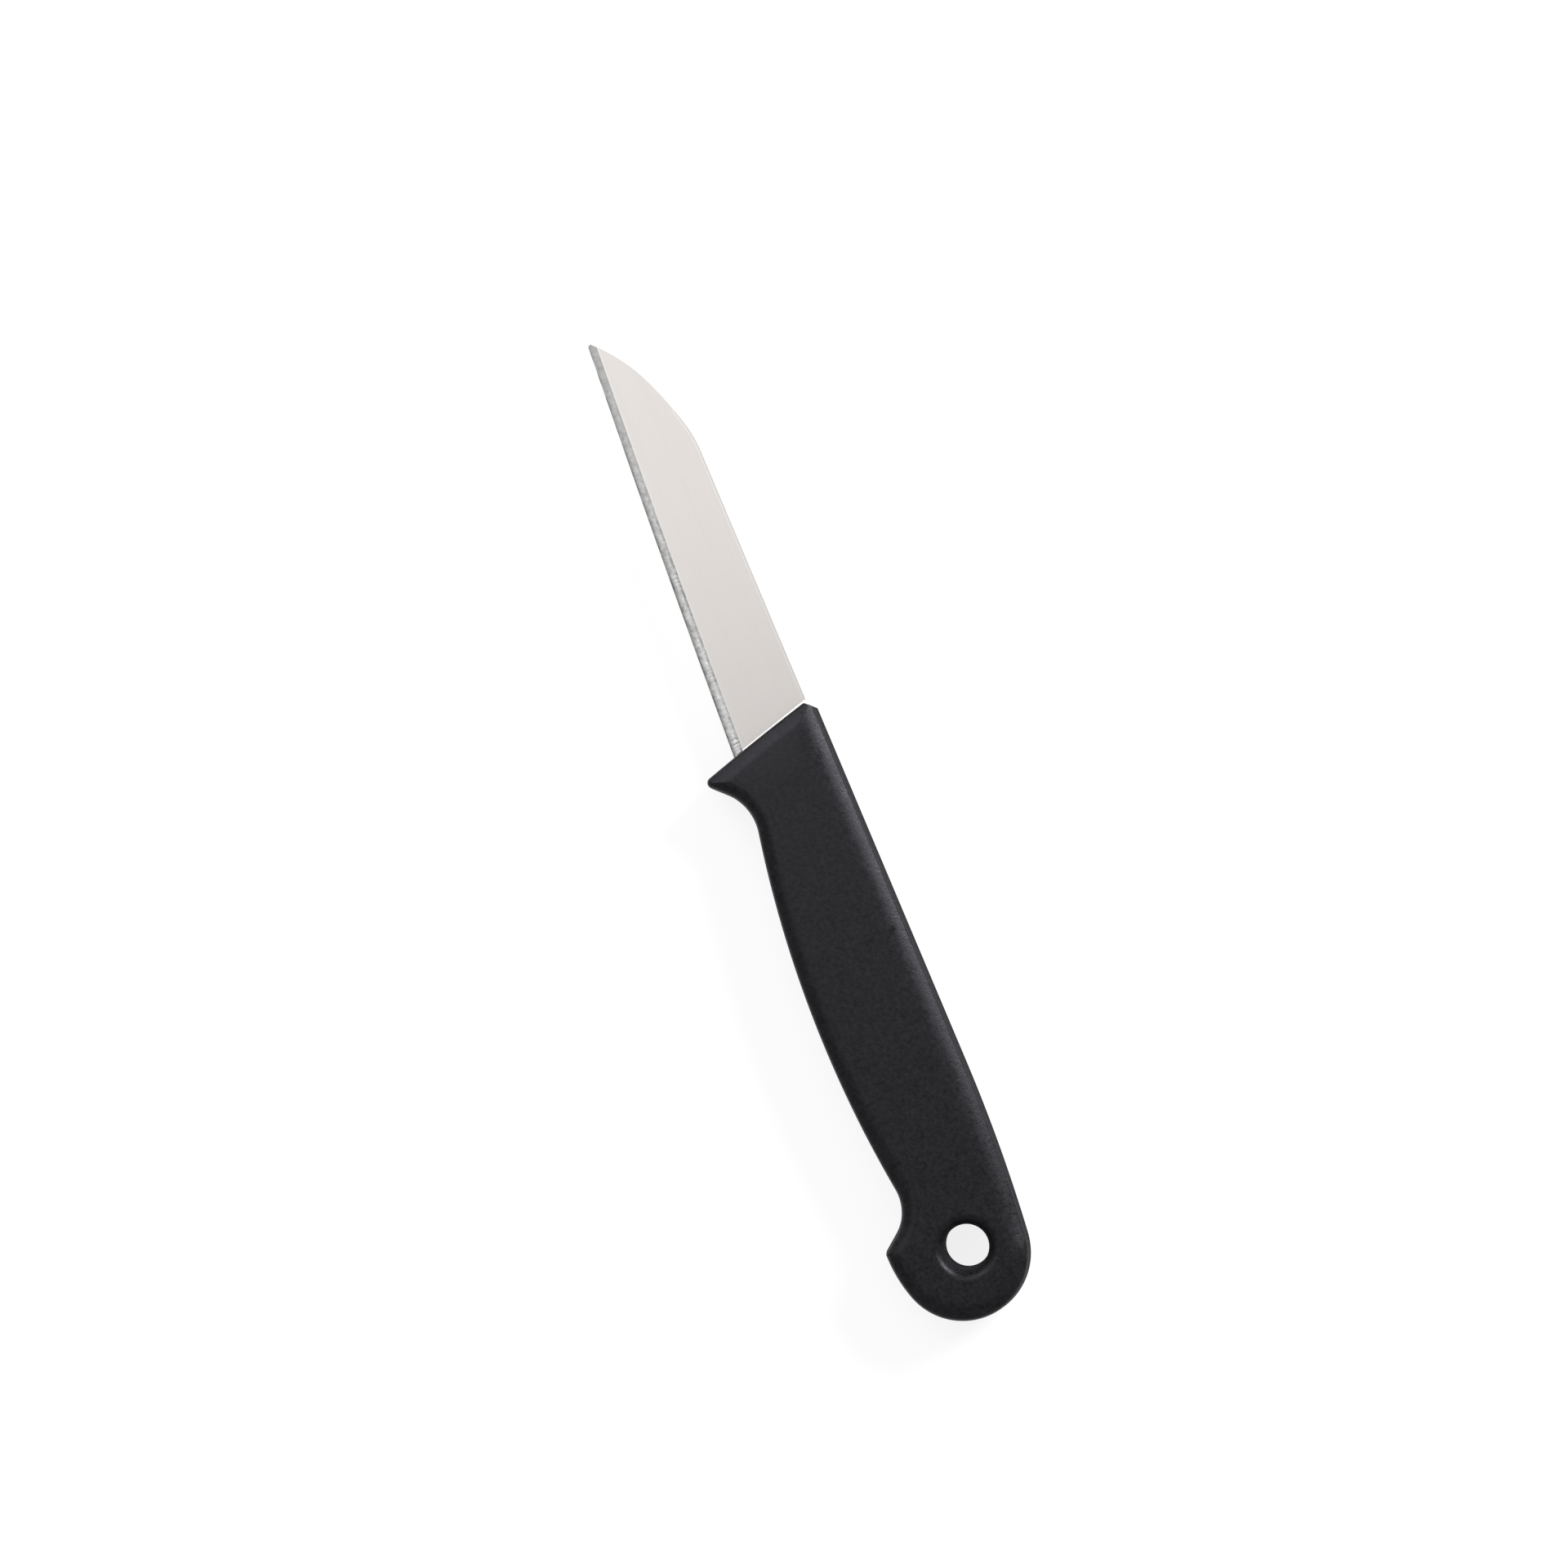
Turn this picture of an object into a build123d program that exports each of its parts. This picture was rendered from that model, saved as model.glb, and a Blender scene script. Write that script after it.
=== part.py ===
from build123d import *
from math import asin, atan2, cos, hypot, radians, sin, sqrt, tan
import os

# A paring knife lying on its side: a stamped steel blade with its tang moulded into a plastic handle.
# X runs from the point to the butt, Y from the cutting edge to the spine, Z up from the lower face.
# The origin is below the middle of the whole knife, on the plane that it lies on.
# Sizes are millimetres. The side view's places are measured back and down from the handle's front
# top corner, so the blade lies at negative distances back.

# Handle, overall.
handle_length = 106.0
handle_depth = 24.46
handle_thickness = 12.0
edge_round = 2.3

# Front of the handle: a bevelled nose above a raked front line that ends in the finger guard.
nose_bevel = 1.41
front_rake = 15.8
guard_depth = 22.3
guard_slope = 45.0
guard_length = 9.26
guard_hollow_radius = 8.85
guard_tip_radius = 0.95

# Back of the handle: the spine droops into a round butt, whose underside ends in a beak.
droop_radius = 280.0
butt_drop = 1.58
heel_drop = 0.64
heel_radius = 24.0
beak_forward = 16.04
beak_tip_radius = 0.6

# Grip: a shallow belly between the guard and the finger notch in front of the beak.
belly_depth = 20.47
belly_middle_share = 0.52
notch_forward = 20.97
notch_depth = 18.17
notch_radius = 7.85

# Hang hole near the butt's middle: a straight bore with a wide curved flare on each face.
hang_hole_lead = 0.89
hang_hole_rise = 1.16
hang_hole_radius = 3.73
hang_hole_length = 6.7
hang_flare_radius = 5.4

# Blade: sheet steel with a straight spine that curves down to a sheep-foot point.
sheet_thickness = 1.0
blade_reach = 70.03
blade_width = 14.86
spine_step = 1.06
point_drop = 10.62
point_radius = 0.35
point_setback_share = 1.1
curve_length = 24.25
curve_shares = ((0.23, 0.07), (0.56, 0.32))

# Edge bevel, ground on both faces, and the fine cross grooves ground into the upper one.
edge_land = 0.06
bevel_width_heel = 1.75
bevel_width_point = 1.35
groove_pitch = 0.69
groove_width = 0.42
groove_depth = 0.1
groove_count = 78
groove_start = 0.9

# Tang, hidden in the handle: a full-width seat, then a narrower tongue with holes for the plastic.
tang_seat = 5.0
tang_length = 55.0
tang_inset = 3.76
tang_width = 9.0
tang_end_width = 7.0
tang_corner_radius = 1.2
tang_hole_radius = 2.0
tang_hole_shares = (0.35, 0.7)

# The plastic lies this far off the steel, and the overrun carries each cut past the surface.
mould_gap = 0.05
overrun = 1.0

# The side view's drawing plane: its X runs back and its Y runs down, in the middle of the thickness.
point_setback = point_setback_share * point_radius
front_x = (blade_reach - point_setback - handle_length) / 2
side_view = Plane(
    origin=(front_x, handle_depth / 2, handle_thickness / 2),
    x_dir=(1, 0, 0),
    z_dir=(0, 0, -1),
)


def nearest(sketch, place):
    """The corner of a sketch that lies nearest to a place."""
    return sketch.vertices().sort_by_distance(Vector(*place))[0]


def touch(centre, radius, outer_centre, outer_radius):
    """The place where a circle touches a larger one that it lies inside."""
    share = outer_radius / (outer_radius - radius)
    back = outer_centre[0] + (centre[0] - outer_centre[0]) * share
    down = outer_centre[1] + (centre[1] - outer_centre[1]) * share
    return (back, down)


# Butt: the droop circle touches the spine and the butt circle, and the heel circle touches the butt
# circle and reaches the handle's full depth, so the outline is smooth from the spine to the beak.
butt_radius = (handle_depth - butt_drop - heel_drop) / 2
butt = (handle_length - butt_radius, butt_drop + butt_radius)
droop_run = sqrt(butt_drop * (2 * (droop_radius - butt_radius) - butt_drop))
droop = (butt[0] - droop_run, droop_radius)
droop_start = (droop[0], 0)
droop_end = touch(butt, butt_radius, droop, droop_radius)
heel_run = sqrt(heel_drop * (2 * (heel_radius - butt_radius) - heel_drop))
heel = (butt[0] - heel_run, handle_depth - heel_radius)
heel_start = touch(butt, butt_radius, heel, heel_radius)
beak_back = handle_length - beak_forward
beak = (beak_back, heel[1] + sqrt(heel_radius**2 - (beak_back - heel[0]) ** 2))

# Front and belly: the guard's back line rises to the belly arc, which ends at the notch.
nose = (-nose_bevel * tan(radians(front_rake)), 0)
guard = ((guard_depth - nose_bevel) * tan(radians(front_rake)), guard_depth)
guard_run = guard_length * cos(radians(guard_slope))
guard_rise = guard_length * sin(radians(guard_slope))
belly_front = (guard[0] + guard_run, guard_depth - guard_rise)
belly_middle = (belly_middle_share * handle_length, belly_depth)
belly_back = (handle_length - notch_forward, notch_depth)

with BuildSketch() as handle_outline:
    with BuildLine():
        Line(nose, droop_start)
        droop_arc = TangentArc(droop_start, droop_end, tangent=(1, 0))
        butt_arc = TangentArc(droop_end, heel_start, tangent=droop_arc % 1)
        TangentArc(heel_start, beak, tangent=butt_arc % 1)
        Line(beak, belly_back)
        ThreePointArc(belly_back, belly_middle, belly_front)
        Line(belly_front, guard)
        Line(guard, nose)
    make_face()
    fillet(nearest(handle_outline, belly_front), radius=guard_hollow_radius)
    fillet(nearest(handle_outline, belly_back), radius=notch_radius)
    fillet(nearest(handle_outline, guard), radius=guard_tip_radius)
    fillet(nearest(handle_outline, beak), radius=beak_tip_radius)

# Blade: the places of its spine curve are shares of the curve's length and drop.
point = (-blade_reach, spine_step + point_drop)
curve_start = (curve_length - blade_reach, spine_step)
bend_end, run_end = [
    (curve_start[0] - forward_share * curve_length, spine_step + down_share * point_drop)
    for forward_share, down_share in curve_shares
]

# The edge is straight from the point to where the blade's full width meets the handle's front.
edge_down = spine_step + blade_width
edge_front = (edge_down - nose_bevel) * tan(radians(front_rake))
edge_run = hypot(edge_front - point[0], edge_down - point[1])
edge_angle = asin((edge_down - point[1]) / edge_run)

# Tang: the seat carries the blade's full width into the handle, and the tongue tapers behind it.
seat_back = edge_front + tang_seat
seat_upper = (seat_back, spine_step)
seat_lower = (seat_back, edge_down + tang_seat * tan(edge_angle))
tang_top = spine_step + tang_inset
tang_taper = (tang_width - tang_end_width) / 2
tang_end_upper = (tang_length, tang_top + tang_taper)
tang_end_lower = (tang_length, tang_top + tang_taper + tang_end_width)
tang_middle = tang_top + tang_width / 2

with BuildSketch() as blank:
    with BuildLine():
        Line(seat_upper, curve_start)
        bend = TangentArc(curve_start, bend_end, tangent=(-1, 0))
        run = TangentArc(bend_end, run_end, tangent=bend % 1)
        TangentArc(run_end, point, tangent=run % 1)
        Line(point, seat_lower)
        Line(seat_lower, (seat_back, tang_top + tang_width))
        Line((seat_back, tang_top + tang_width), tang_end_lower)
        Line(tang_end_lower, tang_end_upper)
        Line(tang_end_upper, (seat_back, tang_top))
        Line((seat_back, tang_top), seat_upper)
    make_face()
    fillet(nearest(blank, point), radius=point_radius)
    for corner in (seat_lower, seat_upper, tang_end_lower, tang_end_upper):
        fillet(nearest(blank, corner), radius=tang_corner_radius)
    with Locations([(share * tang_length, tang_middle) for share in tang_hole_shares]):
        Circle(tang_hole_radius, mode=Mode.SUBTRACT)

# Planes on the cutting edge: one looks along it from the point, one looks up the bevel at the heel.
bevel_rise = (sheet_thickness - edge_land) / 2
bevel_angle = atan2(bevel_rise, bevel_width_heel)
along_edge = Vector(cos(edge_angle), -sin(edge_angle), 0)
into_blade = Vector(sin(edge_angle), cos(edge_angle), 0)
up_bevel = into_blade * cos(bevel_angle) + Vector(0, 0, sin(bevel_angle))
edge_point = side_view.from_local_coords(point)
groove_first = edge_point + along_edge * (edge_run - groove_start) + Vector(0, 0, edge_land / 2)
edge_view = Plane(origin=edge_point, x_dir=into_blade, z_dir=along_edge)
groove_view = Plane(origin=groove_first, x_dir=-along_edge, z_dir=up_bevel)
groove_length = (bevel_width_heel + groove_depth / tan(bevel_angle)) / cos(bevel_angle)


def ground_away(station, width, side):
    """What grinding takes off one face of the edge, as a section at a station along the edge."""
    foot = side * edge_land / 2
    slope = side * bevel_rise / width
    past = side * (sheet_thickness / 2 + overrun)
    low = (-overrun, foot - slope * overrun)
    high = (width + overrun, foot + slope * (width + overrun))
    with BuildSketch(edge_view.offset(station)) as section:
        with BuildLine():
            Polyline(low, high, (high[0], past), (low[0], past), low)
        make_face()
    return section.sketch


# Blade: the blank, ground to the edge on both faces and then grooved across the upper bevel.
with BuildPart() as blade:
    with BuildSketch(side_view):
        add(blank.sketch)
    extrude(amount=sheet_thickness / 2, both=True)
    for side in (1, -1):
        at_point = ground_away(-overrun, bevel_width_point, side)
        at_heel = ground_away(edge_run, bevel_width_heel, side)
        loft([at_point, at_heel], ruled=True, mode=Mode.SUBTRACT)
    with BuildSketch(groove_view.offset(-overrun)):
        with Locations([(step * groove_pitch, 0) for step in range(groove_count)]):
            Polygon(
                (0, -groove_depth),
                (groove_width, groove_depth),
                (-groove_width, groove_depth),
                align=None,
            )
    extrude(amount=groove_length + 2 * overrun, mode=Mode.SUBTRACT)

# Hang hole: half of its section, from its axis outwards. The flare curves out of the bore's wall.
hang_hole = side_view.from_local_coords((butt[0] - hang_hole_lead, butt[1] - hang_hole_rise))
bore_end = (hang_hole_radius, hang_hole_length / 2)
flare_end = (hang_flare_radius, handle_thickness / 2)
mouth_height = handle_thickness / 2 + overrun

# Handle: the outline with rounded rims and a bevelled nose, hollowed to the blank's shape. The hollow
# is left full at the tang's holes, so plastic pins stand through them and key the blade.
with BuildPart() as handle:
    with BuildSketch(side_view):
        add(handle_outline.sketch)
    extrude(amount=handle_thickness / 2, both=True)
    faces = handle.faces().sort_by(Axis.Z)
    fillet(faces[0].edges() + faces[-1].edges(), radius=edge_round)
    with BuildSketch(side_view):
        Polygon(
            (-overrun, nose_bevel + overrun),
            (nose_bevel + overrun, -overrun),
            (-overrun, -overrun),
            align=None,
        )
    extrude(amount=handle_thickness, both=True, mode=Mode.SUBTRACT)
    with BuildSketch(side_view):
        offset(blank.sketch, amount=mould_gap)
    extrude(amount=sheet_thickness / 2 + mould_gap, both=True, mode=Mode.SUBTRACT)
    with BuildSketch(Plane(origin=hang_hole, x_dir=(1, 0, 0), z_dir=(0, -1, 0))):
        with BuildLine():
            Line((0, mouth_height), (hang_flare_radius, mouth_height))
            Line((hang_flare_radius, mouth_height), flare_end)
            TangentArc(bore_end, flare_end, tangent=(0, 1))
            Line(bore_end, (hang_hole_radius, 0))
            Line((hang_hole_radius, 0), (0, 0))
            Line((0, 0), (0, mouth_height))
        make_face()
        mirror(about=Plane.XZ)
    revolve(axis=Axis(hang_hole, (0, 0, 1)), mode=Mode.SUBTRACT)

blade.part.label = "blade"
handle.part.label = "handle"
os.makedirs("parts", exist_ok=True)
export_step(blade.part, "parts/blade.step")
export_step(handle.part, "parts/handle.step")
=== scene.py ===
# Paring knife lying on its side, seen from above: a stamped and ground steel blade whose tang is
# moulded into a black plastic handle. Lengths are millimetres until a mesh or a light takes them.
from math import cos, pi, radians, sin, tan

import bmesh
import bpy
import numpy as np
from mathutils import Matrix, Vector
from mathutils.geometry import delaunay_2d_cdt


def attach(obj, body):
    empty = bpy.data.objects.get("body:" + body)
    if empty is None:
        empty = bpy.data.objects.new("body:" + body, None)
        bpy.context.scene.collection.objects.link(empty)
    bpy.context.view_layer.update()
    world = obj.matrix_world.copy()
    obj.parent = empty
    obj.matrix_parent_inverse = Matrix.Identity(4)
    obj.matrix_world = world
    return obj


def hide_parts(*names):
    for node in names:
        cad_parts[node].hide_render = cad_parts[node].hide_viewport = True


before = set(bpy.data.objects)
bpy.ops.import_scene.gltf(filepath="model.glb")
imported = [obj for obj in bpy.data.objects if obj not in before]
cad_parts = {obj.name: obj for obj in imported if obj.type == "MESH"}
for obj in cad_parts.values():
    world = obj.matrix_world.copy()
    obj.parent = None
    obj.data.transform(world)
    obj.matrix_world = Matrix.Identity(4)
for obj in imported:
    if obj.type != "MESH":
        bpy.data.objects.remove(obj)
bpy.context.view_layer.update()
metre = 0.001

# Camera: a long lens looks down on the knife, which lies across the frame from the upper left to the
# lower right. It leans a little towards the spine, so that the spine's wall shows beside the face.
lens_length = 150.0
sensor_width = 36.0
view_width = 262.6
view_aim = Vector((-7.12, 2.33, 6.0))
view_lean = radians(4.1)
across = Vector((0.3893, 0.9211, 0.0)).normalized()
upward = Vector((-across.y, across.x, 0.0))
rightward = across * cos(view_lean) - Vector((0, 0, sin(view_lean)))
towards = across * sin(view_lean) + Vector((0, 0, cos(view_lean)))
camera_place = (view_aim + towards * view_width * lens_length / sensor_width) * metre

camera_data = bpy.data.cameras.new("camera")
camera_data.lens = lens_length
camera_data.sensor_width = sensor_width
camera_data.clip_end = 60.0
camera = bpy.data.objects.new("camera", camera_data)
bpy.context.collection.objects.link(camera)
camera.matrix_world = Matrix((
    (rightward.x, upward.x, towards.x, camera_place.x),
    (rightward.y, upward.y, towards.y, camera_place.y),
    (rightward.z, upward.z, towards.z, camera_place.z),
    (0, 0, 0, 1),
))
bpy.context.scene.camera = camera
bpy.context.scene.view_settings.view_transform = "Standard"


def node(tree, kind, inputs=(), **settings):
    """A shader node with its settings, whose inputs take a value, or a link from another socket."""
    made = tree.nodes.new(kind)
    for name, value in settings.items():
        setattr(made, name, value)
    for key, value in dict(inputs).items():
        if isinstance(value, bpy.types.NodeSocket):
            tree.links.new(value, made.inputs[key])
        else:
            made.inputs[key].default_value = value
    return made


# Floor: a white table top under the knife, wide enough to fill every view. It keeps the knife's soft
# shadow, and a little extra light on what the camera sees of it makes the paper white.
floor_half = 20.0
floor_level = -0.0001
floor_colour = (0.26, 0.26, 0.26, 1.0)
floor_lift = 0.84
corners = np.array([(-1, -1), (1, -1), (1, 1), (-1, 1)]) * floor_half
corners = np.hstack([corners, np.full((4, 1), floor_level)])
floor_mesh = bpy.data.meshes.new("floor")
floor_mesh.from_pydata(corners.tolist(), [], [(0, 1, 2, 3)])
floor = bpy.data.objects.new("floor", floor_mesh)
bpy.context.collection.objects.link(floor)
paper = bpy.data.materials.new("white_paper")
paper.use_nodes = True
tree = paper.node_tree
tree.nodes.clear()
ray = node(tree, "ShaderNodeLightPath").outputs
seen = ray["Is Camera Ray"]
for other in ("Is Glossy Ray", "Is Transmission Ray"):
    seen = node(tree, "ShaderNodeMath", {0: seen, 1: ray[other]}, operation="MAXIMUM").outputs[0]
lift = node(tree, "ShaderNodeMath", {0: seen, 1: floor_lift}, operation="MULTIPLY").outputs[0]
matt = node(tree, "ShaderNodeBsdfDiffuse", {"Color": floor_colour}).outputs[0]
glow = node(tree, "ShaderNodeEmission", {"Strength": lift}).outputs[0]
both = node(tree, "ShaderNodeAddShader", {0: matt, 1: glow}).outputs[0]
node(tree, "ShaderNodeOutputMaterial", {"Surface": both})
floor_mesh.materials.append(paper)

# Room light: an even pale sky that darkens towards the horizon, as in a tent of white cloth, so that
# the slopes of the steel show.
sky_top = 0.38
sky_foot = 0.34
foot_height = 0.2
world = bpy.data.worlds.new("light_tent")
world.use_nodes = True
bpy.context.scene.world = world
tree = world.node_tree
tree.nodes.clear()
heading = node(tree, "ShaderNodeTexCoord").outputs["Generated"]
height = node(tree, "ShaderNodeSeparateXYZ", {0: heading}).outputs["Z"]
brightness = node(tree, "ShaderNodeMapRange", {
    "Value": height, "From Min": foot_height, "From Max": 1.0, "To Min": sky_foot, "To Max": sky_top,
}, interpolation_type="SMOOTHSTEP").outputs[0]
cloth = node(tree, "ShaderNodeBackground", {"Strength": brightness}).outputs[0]
node(tree, "ShaderNodeOutputWorld", {"Surface": cloth})


def soft_box(name, place, aim, size, power):
    """A square studio light of a size in metres, which hangs at a place and faces its aim."""
    lamp = bpy.data.lights.new(name, "AREA")
    lamp.shape = "SQUARE"
    lamp.size = size
    lamp.energy = power
    holder = bpy.data.objects.new(name, lamp)
    bpy.context.collection.objects.link(holder)
    holder.location = place
    holder.rotation_euler = (Vector(aim) - Vector(place)).to_track_quat("-Z", "Y").to_euler()
    return holder


# Studio lights, each with its place, its aim, its size in metres and its power in watts. The key hangs
# high beyond the spine, the fill straight above the point, and the front light beyond the point.
soft_box("key_light", (-0.30, 1.00, 0.62), (0.0, 0.0, 0.0), 0.45, 13.5)
soft_box("fill_light", (-0.255, -0.06, 0.5), (-0.255, -0.06, 0.0), 0.5, 0.74)
soft_box("front_light", (-0.80, -0.22, 0.64), (0.0, 0.0, 0.0), 0.5, 1.7)


# Blade: one strip of stainless sheet, stamped to a sheep-foot point, brushed lengthwise, ground on both
# faces to an edge and finely notched across the upper bevel. Its seat and its pierced tongue go on
# into the handle, which is moulded round them.
sheet = 1.0
middle = 6.0
handle_half_depth = 12.23
front_x = -18.1775
spine_down = 1.06
curve_places = ((-45.78, 1.06), (-51.3575, 1.8034), (-59.36, 4.4584), (-70.03, 11.68))
edge_heel = (4.106, 15.92)
edge_bow = 0.2
tip_radius = 0.42
curve_steps = 60
tip_steps = 24
station_step = 0.06
seat_length = 5.0
face_shares = (0.04, 0.3, 0.65, 1.0)
bevel_room = 0.94
edge_land = 0.05
hone_width = 0.26
hone_slope = tan(radians(24.0))
hone_spacing = 1.3
hone_least, hone_most = 0.55, 1.1
bevel_at_tip = 1.38
bevel_at_heel = 1.84
notch_spacing = 0.46
notch_depth = 0.06
notch_lean = tan(radians(14.5))
notch_reach = 58.0
notch_fade = 20.0
notch_group = 3
notch_rise = 0.9
notch_fall = 0.15
notch_seed = 11
# Band of painted highlight on the bevel below the shoulder: where it starts and rises, where it falls
# and stops, how far from the heel it reaches and fades, and how widely its glints spread round the
# strokes.
glint_band_start = 0.7
glint_band_rise = 0.4
glint_band_stop = 0.28
glint_band_fall = 0.2
glint_band_reach = 46.0
glint_band_fade = 26.0
glint_spread = 1.8
corner_wear = 0.03
corner_drop = 0.075
# The painted shade along the spine's edge stops this far from the point, fading in over this length.
spine_shade_end = 16.0
spine_shade_fade = 8.0
out_of_reach = 5.0
tongue_start = 8.6
tongue_end = 55.0
tongue_down = (4.82, 13.82)
tongue_tip_down = (5.82, 12.82)
tongue_hole_radius = 2.0
tongue_hole_steps = 32
tongue_holes = (19.25, 38.5)


def place(back, down):
    """Model x and y of a place that lies so far back and down from the handle's front top corner."""
    return np.array([front_x + back, handle_half_depth - down])


def bend(start, end, heading, count):
    """Points of the arc that leaves start along a unit heading and reaches end, and its last heading.

    With n the normal to the heading, the radius is |end - start|^2 / (2 n.(end - start)), and each
    point is the centre plus the start's radius vector turned by an even share of the whole angle.
    """
    span = end - start
    normal = np.array([-heading[1], heading[0]])
    radius = span @ span / (2 * normal @ span)
    centre = start + normal * radius
    turn = 2 * np.arctan2(normal @ span, heading @ span)
    angle = np.linspace(0, turn, count)[:, None]
    spoke = start - centre
    swung = np.array([-spoke[1], spoke[0]])
    last = heading * cos(turn) + normal * sin(turn)
    return centre + spoke * np.cos(angle) + swung * np.sin(angle), last


def surface(name, points, faces, smooth_below):
    """A piece made from points in millimetres and lists of their numbers, smooth but at sharp edges."""
    mesh = bpy.data.meshes.new(name)
    mesh.from_pydata((np.asarray(points) * metre).tolist(), [], faces)
    mesh.polygons.foreach_set("use_smooth", np.ones(len(faces), dtype=bool))
    mesh.set_sharp_from_angle(angle=radians(smooth_below))
    piece = bpy.data.objects.new(name, mesh)
    bpy.context.collection.objects.link(piece)
    return piece


def quads(rows, columns, first=0, wrap=False):
    """Faces of a grid of points stored row after row, whose columns may close into a ring."""
    row = np.arange(rows - 1)[:, None]
    column = np.arange(columns if wrap else columns - 1)[None, :]
    following = (column + 1) % columns
    low, high = first + row * columns, first + (row + 1) * columns
    faces = np.stack([low + column, low + following, high + following, high + column], axis=-1)
    return faces.reshape(-1, 4)


# The blade is a grid of stations along the edge and lines across it, from the edge to the spine.
tip = place(*curve_places[-1])
heel = place(*edge_heel)
along = (heel - tip) / np.linalg.norm(heel - tip)
inward = np.array([-along[1], along[0]])
edge_length = np.linalg.norm(heel - tip)
curve, heading = [place(edge_heel[0] + seat_length, spine_down)[None]], np.array([-1.0, 0.0])
for begin, finish in zip(curve_places[:-1], curve_places[1:]):
    part, heading = bend(place(*begin), place(*finish), heading, curve_steps)
    curve.append(part)
curve = np.concatenate(curve)
spine_along, spine_across = (curve - tip) @ along, (curve - tip) @ inward

# The point is rounded by a circle that touches the edge and the last stretch of the spine's curve.
lean_back = np.arctan2(-heading @ inward, -heading @ along)
tip_centre = tip_radius / np.tan(lean_back / 2)
first_station = tip_centre - tip_radius
station = np.concatenate([
    first_station + tip_radius * (1 - np.cos(np.linspace(0, pi / 2, tip_steps))),
    np.arange(tip_centre + station_step / 2, edge_length + seat_length, station_step),
    [edge_length + seat_length],
])
round_gap = np.sqrt(np.clip(tip_radius**2 - (tip_centre - station) ** 2, 0, None))
lower = np.where(station < tip_centre, tip_radius - round_gap, 0.0)
top_touch = tip_centre - tip_radius * np.sin(lean_back)
order = np.argsort(spine_along)
spine_line = np.interp(station, spine_along[order], spine_across[order])
upper = np.where(station < top_touch, tip_radius + round_gap, spine_line)
bow = -edge_bow * np.sin(pi * np.clip(station / edge_length, 0, 1))
lower = lower + bow

# Across the edge: a fine strip honed by hand, whose slope wanders, then the bevel with its notches, and
# then the flat face.
hone_share = np.linspace(0, 1, 4)
bevel_share = np.linspace(0, 1, 17)[1:]
bevel = bevel_at_tip + (bevel_at_heel - bevel_at_tip) * np.clip(station / edge_length, 0, 1)
room = (upper - lower)[:, None]
squeeze = np.minimum(1, bevel_room * room[:, 0] / bevel)[:, None]
hone_rows = hone_width * hone_share[None, :] * squeeze
bevel_rows = (hone_width + (bevel[:, None] - hone_width) * bevel_share[None, :]) * squeeze
shoulder = bevel_rows[:, -1:]
wear = np.minimum(corner_wear, room * 0.02)
face_rows = shoulder + (room - wear - shoulder) * np.array(face_shares)
run = np.concatenate([hone_rows, bevel_rows, face_rows, room], axis=1)
depth_in = run + lower[:, None] * (station < tip_centre)[:, None]
chance = np.random.default_rng(notch_seed)
hone_knots = np.arange(0, edge_length + seat_length, hone_spacing)
hone_wander = chance.uniform(hone_least, hone_most, len(hone_knots))
hone_wander = np.interp(station, hone_knots, hone_wander)[:, None]
honed = edge_land / 2 + hone_slope * hone_wander * np.minimum(depth_in, hone_width)
ground = np.clip((depth_in - hone_width) / (bevel[:, None] - hone_width), 0, 1)
half = honed + (sheet / 2 - edge_land / 2 - hone_slope * hone_wander * hone_width) * ground
half[:, -1:] -= corner_drop

# Notches: rounded strokes of the grinding wheel at loose spacings, each with its own weight, width and
# length, in groups that grow bolder towards the heel and lean towards the point. The cut at a place is
# the sum over the strokes of weight times e to the minus squared distance over width, and it fades out
# at both ends of a stroke. Where the strokes run out, below the shoulder, a band of painted highlight
# lies, brightest round the strokes.
strokes = int(notch_reach / notch_spacing)
centres = np.cumsum(chance.uniform(0.55, 1.45, strokes)) * notch_spacing - 1.0
weights = chance.uniform(0.1, 1.0, strokes)
groups = chance.uniform(0.3, 1.0, strokes // notch_group + 1)
weights = weights * np.repeat(groups, notch_group)[:strokes]
outer_ends = chance.uniform(0.2, 0.6, strokes)
inner_ends = chance.uniform(0.05, 0.3, strokes)
widths = chance.uniform(0.10, 0.25, strokes)
from_heel = (edge_length - station)[:, None]
beside_stroke = (from_heel - depth_in * notch_lean)[:, :, None] - centres
fade = np.clip((notch_reach - from_heel) / notch_fade, 0, 1) * (1.25 - 0.5 * from_heel / notch_reach)
begins = np.clip((depth_in[:, :, None] - outer_ends) / notch_rise, 0, 1)
ends = np.clip((bevel[:, None, None] - inner_ends - depth_in[:, :, None]) / notch_fall, 0, 1)
reached = weights * fade[:, :, None] * begins * ends
cut = (np.exp(-((beside_stroke / widths) ** 2)) * reached).sum(axis=2)
# The painted highlight on the bevel: glints round the strokes, within a band below the shoulder.
glints = (np.exp(-((beside_stroke / widths / glint_spread) ** 2)) * weights).sum(axis=2)
inner_band = np.clip((depth_in - glint_band_start) / glint_band_rise, 0, 1)
inner_band = inner_band * np.clip((bevel[:, None] - glint_band_stop - depth_in) / glint_band_fall, 0, 1)
inner_band = inner_band * np.clip((glint_band_reach - from_heel) / glint_band_fade, 0, 1)
painted_glint_band = np.clip(inner_band * (0.4 + 1.2 * glints), 0, 1)
upper_half = half - notch_depth * cut

flat = tip + station[:, None, None] * along + (lower[:, None] + run)[:, :, None] * inward
over = np.concatenate([flat, (middle + upper_half)[:, :, None]], axis=2)
under = np.concatenate([flat, (middle - half)[:, :, None]], axis=2)
loop = np.concatenate([over, under[:, ::-1]], axis=1)
stations, ring = loop.shape[:2]
blade_points = loop.reshape(-1, 3)

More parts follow.
